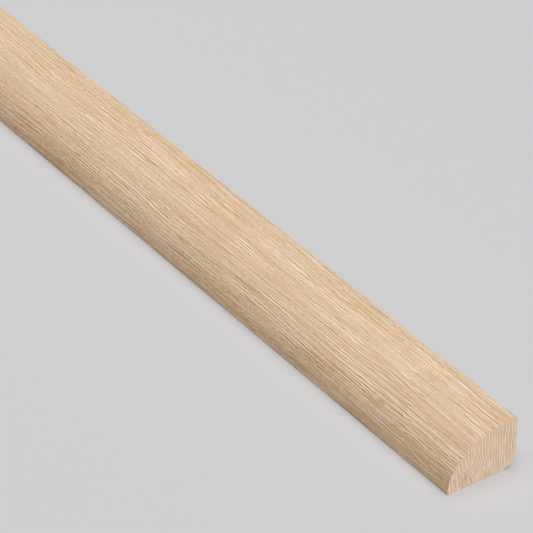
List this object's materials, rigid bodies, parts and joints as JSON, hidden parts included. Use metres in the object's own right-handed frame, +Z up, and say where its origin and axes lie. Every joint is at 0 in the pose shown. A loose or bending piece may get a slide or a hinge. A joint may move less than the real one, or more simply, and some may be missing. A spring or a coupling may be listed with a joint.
{
  "type": "quarter round moulding",
  "caption": "Length of solid oak quarter round moulding: a low convex front, flat foot and flat back, with a relief cut off the hidden back corner.",
  "frame": {"origin": "middle of the outline's lowest plane, halfway along the length", "axes": "+X along the length, +Y out of the flat back towards the wall, +Z up from the foot"},
  "size_m": [0.9144, 0.019, 0.0135],
  "materials": {
    "oak": "brushed, matt clear finish"
  },
  "bodies": {
    "root": {"quarter_round": "oak"}
  },
  "joints": []
}
